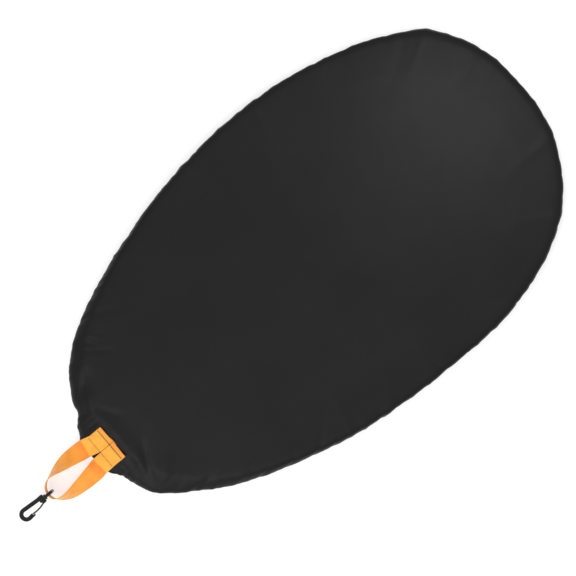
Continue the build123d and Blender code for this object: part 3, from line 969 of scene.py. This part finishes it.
def one_stitch(length, width, height):
    """A stitch along X: a thread that rises out of the cloth and dives back."""
    t = np.linspace(0, 1, STITCH_ROWS)
    x = (t - 0.5) * length
    z = height * np.sin(math.pi * t) ** 0.6 - width * 0.35
    radius = width / 2 * (0.75 + 0.25 * np.sin(math.pi * t))
    path = np.column_stack([x, np.zeros(STITCH_ROWS), z])
    return tube(path, radius[:, None] * np.ones(STITCH_SIDES), STITCH_SIDES)


def stitch_run(name, node, places, length, width, height):
    """A stitch at each place: (point, direction along, direction up)."""
    stitch_points, stitch_faces, stitch_uv = one_stitch(length, width, height)
    points, faces = [], []
    for place, along, up in places:
        along = unit(np.asarray(along, float))
        up = unit(np.asarray(up, float))
        start = len(points) * len(stitch_points)
        points.append(place + stitch_points @ np.array([along, np.cross(up, along), up]))
        faces += [tuple(start + corner for corner in face) for face in stitch_faces]
    run = make_object(name, np.vstack(points), faces, THREAD, stitch_uv * len(points))
    dress(run, "cover", "thread", node)


def hem_stitches():
    """Places of the stitches round the hem."""
    angle = hem_angles(int(hem_length / HEM_STITCH_PITCH), THREAD_INSET, THREAD_SETBACK)[0]
    line = along_hem(angle, THREAD_INSET, THREAD_SETBACK)
    places = []
    for (x, y), (step_x, step_y), (out_x, out_y) in zip(line, np.gradient(line, axis=0), outward(angle)):
        up = (-THREAD_INWARD * out_x, -THREAD_INWARD * out_y, -THREAD_DOWN)
        places.append(((x, y, THREAD_Z), (step_x, step_y, 0.0), up))
    return places


stitch_run("hem_stitches", "hem_stitching", hem_stitches(), length=2.6, width=0.6, height=0.35)


# ---------------------------------------------------------------- webbing pull loop

WEB_WIDTH = 30.0
WEB_THICK = 1.5
STRAP_ROWS = 420
LIMB_OFFSET = 15.2  # from the strap's middle to the middle of each limb
CAD_TAB_HALF = 21.0
TAB_MIDDLE_Y = -442.9
TAB_MIDDLE_Z = 27.6
TAB_TILT = math.radians(25.0)
TAB_LENGTH = 45.0
TAB_FOLD = 12.0  # how much webbing is folded under
FOLD_START = TAB_LENGTH - 2.2
FOLD_REACH = 1.35
FOLD_RISE = 0.95
FOLD_ANGLES = (-70, -35, 0, 35, 70)
UNDER_SHIFT = 0.3
# heights above the tab's underside
UNDER_LAYER = 0.85
FOLD_MIDDLE = 1.75
TOP_LAYER = 1.8 + WEB_THICK / 2 + 0.05
TAB_TOP = 1.8 + WEB_THICK + 0.05

HINGE_Y = TAB_MIDDLE_Y - CAD_TAB_HALF * math.cos(TAB_TILT)
HINGE_Z = TAB_MIDDLE_Z - CAD_TAB_HALF * math.sin(TAB_TILT)
TAB_ALONG = np.array([0.0, math.cos(TAB_TILT), math.sin(TAB_TILT)])
TAB_UP = np.array([0.0, -math.sin(TAB_TILT), math.cos(TAB_TILT)])
FLARE = {-1: -4.2, 1: 0.6}  # how far the left and right limbs shift along X before the hinge
FLARE_START = 19.0
FLARE_LENGTH = 17.0

# Free loop: (x, y, height, twist in degrees), from the left end round the tip to the right end
LOOP_STATIONS = (
    (-13.3, -466.2, 20.9, 2),
    (-14.2, -473.0, 19.0, 9),
    (-15.3, -481.0, 18.0, 22),
    (-16.6, -493.0, 18.0, 34),
    (-17.0, -505.0, 18.6, 46),
    (-16.8, -516.0, 19.3, 60),
    (-16.2, -527.0, 19.8, 76),
    (-14.3, -537.0, 20.0, 87),
    (-9.5, -546.0, 20.0, 90),
    (-3.0, -551.0, 20.0, 90),
    (5.0, -552.8, 20.0, 90),
    (13.0, -551.6, 20.0, 90),
    (19.4, -546.4, 20.0, 84),
    (24.0, -538.5, 20.0, 74),
    (26.6, -528.0, 19.8, 62),
    (27.3, -516.0, 19.3, 50),
    (26.8, -502.0, 18.7, 38),
    (26.0, -488.0, 18.1, 24),
    (24.9, -475.0, 19.0, 10),
    (23.2, -466.2, 20.9, 2),
)
RADIAN_WEIGHT = 20.0  # millimetres that a radian of twist counts for when rows are spaced along the strap
TWIST_START = 2.0  # degrees of twist at which the webbing's width starts to turn with its path
TWIST_BLEND = 14.0
ON_EDGE = 60.0  # degrees of twist past which the width always leans to the path's left
SELVEDGE_ANGLES = (0.8, 1.57, 2.34)
SECTION_POINTS = 13


def tab_point(x, along, up):
    """A point at x, so far along the sewn tab from its hinge and so far above its underside."""
    return np.array([x, HINGE_Y, HINGE_Z]) + along * TAB_ALONG + up * TAB_UP


def tab_stations(side):
    """(x, y, height, twist) of one limb on the sewn tab: from its cut end, round the fold, to the hinge."""
    x = STRAP_X + side * LIMB_OFFSET
    under_x = x - side * UNDER_SHIFT
    under = np.linspace(TAB_LENGTH - TAB_FOLD, FOLD_START, 5)
    points = [tab_point(under_x, along, UNDER_LAYER) for along in under]
    for angle in FOLD_ANGLES:
        turn = math.radians(angle)
        along = FOLD_START + FOLD_REACH * math.cos(turn)
        points.append(tab_point(x, along, FOLD_MIDDLE + FOLD_RISE * math.sin(turn)))
    for along in np.linspace(TAB_LENGTH - 2.4, 2.0, 14):
        bend = max(0.0, (FLARE_START - along) / FLARE_LENGTH)
        points.append(tab_point(x + FLARE[side] * bend, along, TOP_LAYER))
    return [(*point, 0.0) for point in points]


def webbing_section(width, thickness):
    """Section of a flat band with rounded selvedges: (across, through)."""
    flat, edge = width / 2 - thickness / 2, thickness / 2
    across = np.linspace(-flat, flat, SECTION_POINTS)
    section = [(x, edge) for x in across]
    section += [(flat + edge * math.sin(a), edge * math.cos(a)) for a in SELVEDGE_ANGLES]
    section += [(x, -edge) for x in across[::-1]]
    section += [(-flat - edge * math.sin(a), -edge * math.cos(a)) for a in SELVEDGE_ANGLES]
    return np.array(section)


def width_directions(path, tangent, twist):
    """Which way the webbing's width points: flat along X on the tab, then turned up on edge by its twist."""
    degrees = np.degrees(twist)
    flat = np.column_stack([np.sign(STRAP_X - path[:, 0]), np.zeros(len(path)), np.zeros(len(path))])
    level = np.cross((0, 0, 1), tangent * (1, 1, 0))
    level = level / np.maximum(np.linalg.norm(level, axis=1, keepdims=True), 1e-6)
    sign = np.sign((level * flat).sum(1, keepdims=True))
    sign[np.abs(degrees) > ON_EDGE] = 1
    weight = smooth_step((degrees - TWIST_START) / TWIST_BLEND)[:, None]
    level = unit(flat * (1 - weight) + level * sign * weight)
    wide = level * np.cos(twist)[:, None] + np.array([0, 0, 1.0]) * np.sin(twist)[:, None]
    return unit(wide - (wide * tangent).sum(1, keepdims=True) * tangent)


def ribbon(stations, width, thickness, count):
    """Points, faces and UVs of webbing through stations of (x, y, z, twist in degrees)."""
    stations = np.array(stations, float)
    twist = np.radians(stations[:, 3])
    rows = smooth_curve(np.column_stack([stations[:, :3], twist * RADIAN_WEIGHT]), count)
    path, twist = rows[:, :3], rows[:, 3] / RADIAN_WEIGHT
    tangent = unit(np.gradient(path, axis=0))
    wide = width_directions(path, tangent, twist)
    thick = np.cross(tangent, wide)
    section = webbing_section(width, thickness)
    points = path[:, None, :] + wide[:, None, :] * section[None, :, :1]
    points = points + thick[:, None, :] * section[None, :, 1:]
    across = distance_along(np.vstack([section, section[:1]]))
    along = distance_along(path)
    along -= along[-1] / 2
    faces, uv = skin(across, along)
    cap_faces, cap_uv = end_caps(across, along)
    return points.reshape(-1, 3), faces + cap_faces, uv + cap_uv


strap_stations = [*tab_stations(-1), *LOOP_STATIONS, *tab_stations(1)[::-1]]
strap_points, strap_faces, strap_uv = ribbon(strap_stations, WEB_WIDTH, WEB_THICK, STRAP_ROWS)
strap_half = max(v for u, v in strap_uv)
strap = make_object("pull_loop", strap_points, strap_faces, orange_webbing(strap_half), strap_uv)
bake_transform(strap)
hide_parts("strap_loop", "strap_tab")

TAB_STITCH_ROWS = (6.6, 8.0, 28.4)  # from the tab's far end
TAB_STITCHES = 18
TAB_STITCH_PITCH = 3.2

tab_stitches = []
for row in TAB_STITCH_ROWS:
    for k in range(TAB_STITCHES):
        x = STRAP_X + (k - (TAB_STITCHES - 1) / 2) * TAB_STITCH_PITCH
        tab_stitches.append((tab_point(x, TAB_LENGTH - row, TAB_TOP), (1, 0, 0), TAB_UP))
stitch_run("strap_stitches", "strap_stitching", tab_stitches, length=3.0, width=0.8, height=0.4)


# ---------------------------------------------------------------- CAD parts that keep their shape

FINISHES = {
    "swivel_eye": HOOK_PLASTIC,
    "hook_body": HOOK_PLASTIC,
    "hook_gate": HOOK_PLASTIC,
    "cord_lock_barrel": LOCK_PLASTIC,
    "cord_lock_plunger": LOCK_PLASTIC,
    "cord_end_caps": LOCK_PLASTIC,
}
for node, material in FINISHES.items():
    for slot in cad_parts[node].material_slots:
        slot.material = material


# ---------------------------------------------------------------- floor, light and camera

WHITE = (1.0, 1.0, 1.0, 1.0)
FLOOR_HALF = 9000.0
FLOOR_Z = -0.8

floor_material = material_nodes("pale_floor").set(
    Base_Color=(0.45, 0.45, 0.45, 1.0),
    Roughness=0.9,
    Emission_Color=WHITE,
    Emission_Strength=0.63,
)
floor_corners = [(x * FLOOR_HALF, y * FLOOR_HALF, FLOOR_Z) for x, y in ((-1, -1), (1, -1), (1, 1), (-1, 1))]
make_object("floor", floor_corners, [(0, 1, 2, 3)], floor_material)


def studio_world():
    """A white studio that is bright overhead and dimmer round the horizon, plain white to the camera."""
    nodes = Nodes(bpy.data.worlds.new("studio"), "Background", "Generated")
    overhead = nodes.spread(nodes.split(nodes.place)["Z"], 0.35, 1.15, 0.1, 1.0)
    seen = nodes.add("ShaderNodeLightPath").outputs["Is Camera Ray"]
    strength = nodes.add("ShaderNodeMix", {"Factor": seen, "A": overhead, "B": 0.92})
    return nodes.set(Color=WHITE, Strength=strength.outputs["Result"])


def softbox(name, position, target, size, power):
    """A square area light that looks at a target, in metres."""
    light = bpy.data.lights.new(name, "AREA")
    light.shape = "SQUARE"
    light.size = size
    light.energy = power
    lamp = add_to_scene(name, light)
    lamp.location = position
    lamp.rotation_euler = (Vector(target) - Vector(position)).to_track_quat("-Z", "Y").to_euler()


bpy.context.scene.world = studio_world()
softbox("glow", (-0.06, 0.385, 0.6), (-0.06, 0.34, 0.0), 0.2, 1.0)
softbox("key", (0.7, -1.8, 1.8), (0.0, -0.3, 0.0), 2.0, 26.0)

VIEW_TURN = math.radians(49.77)
VIEW_CENTRE = Vector((0.0004, -0.061, 0.022))
VIEW_WIDTH = 0.8957
LENS = 200.0
SENSOR = 36.0

camera_data = bpy.data.cameras.new("camera")
camera_data.lens = LENS
camera_data.sensor_width = SENSOR
camera_data.clip_end = 100.0
camera = add_to_scene("camera", camera_data)
camera.location = VIEW_CENTRE + Vector((0, 0, VIEW_WIDTH * LENS / SENSOR))
camera.rotation_euler = (0.0, 0.0, VIEW_TURN)
bpy.context.scene.camera = camera
bpy.context.scene.view_settings.view_transform = "Standard"
